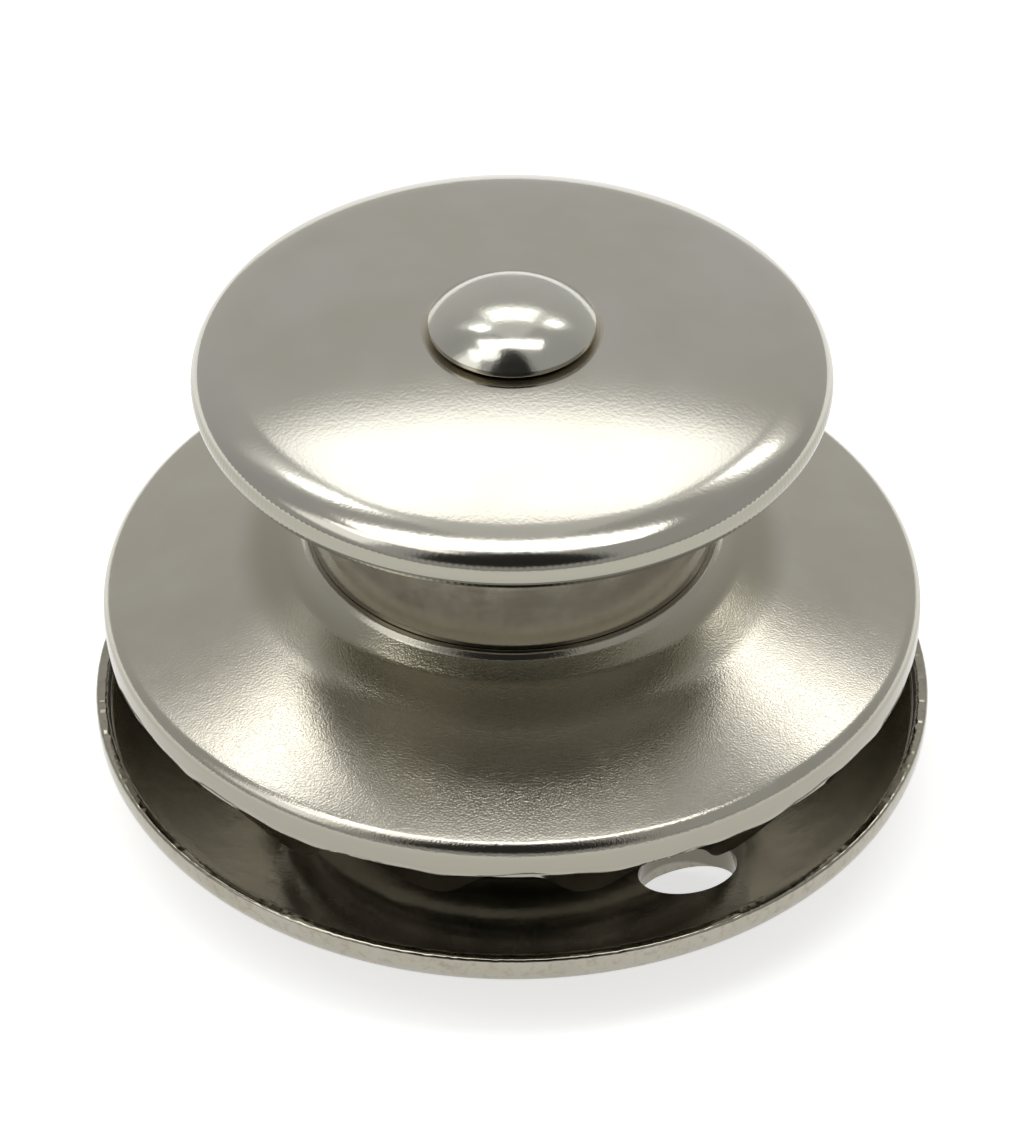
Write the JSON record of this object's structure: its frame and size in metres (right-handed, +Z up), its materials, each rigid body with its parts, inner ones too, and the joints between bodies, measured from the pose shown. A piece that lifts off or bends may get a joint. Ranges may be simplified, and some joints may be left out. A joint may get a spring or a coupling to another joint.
{
  "type": "pull-up snap fastener head",
  "caption": "Round mushroom knob on a toothed bell flange with a dished washer nut below; pulling the knob up frees the stud it grips.",
  "frame": {"origin": "middle of the washer nut's flat foot, on the surface that the part stands on", "axes": "+Z up along the common axis, from the stud's mouth to the knob; the front of the picture is -Y"},
  "size_m": [0.02, 0.02, 0.0139],
  "materials": {
    "knob_plate": "smooth satin nickel plate over brass",
    "pin_plate": "polished nickel plate over brass",
    "flange_plate": "fine-grained blasted nickel plate over brass",
    "nut_plate": "dull tumbled nickel plate over brass",
    "turned_plate": "turned and nickel plated brass",
    "collet_brass": "turned spring brass, thinly plated",
    "spring_wire": "drawn stainless spring wire"
  },
  "bodies": {
    "base": {"socket_barrel": "turned_plate", "face_flange": "flange_plate", "cone_bush": "turned_plate", "spring": "spring_wire"},
    "nut": {"washer_nut": "nut_plate"},
    "stem": {"pull_pin": "pin_plate", "locking_collet": "collet_brass"},
    "knob": {"knob_cap": "knob_plate", "knob_sleeve": "knob_plate"}
  },
  "joints": [
    {"name": "knob_lift", "type": "slide", "parent": "base", "child": "stem", "axis": [0, 0, 1], "range_m": [0, 0.0018], "stiffness_N_per_m": 2500, "springref_m": -0.0016, "deforming": ["spring"]},
    {"name": "knob_turn", "type": "hinge", "parent": "stem", "child": "knob", "pos_m": [0, 0, 0.0129], "axis": [0, 0, 1], "continuous": true},
    {"name": "nut_travel", "type": "slide", "parent": "base", "child": "nut", "axis": [0, 0, 1], "range_m": [-0.001, 0.0013]}
  ]
}
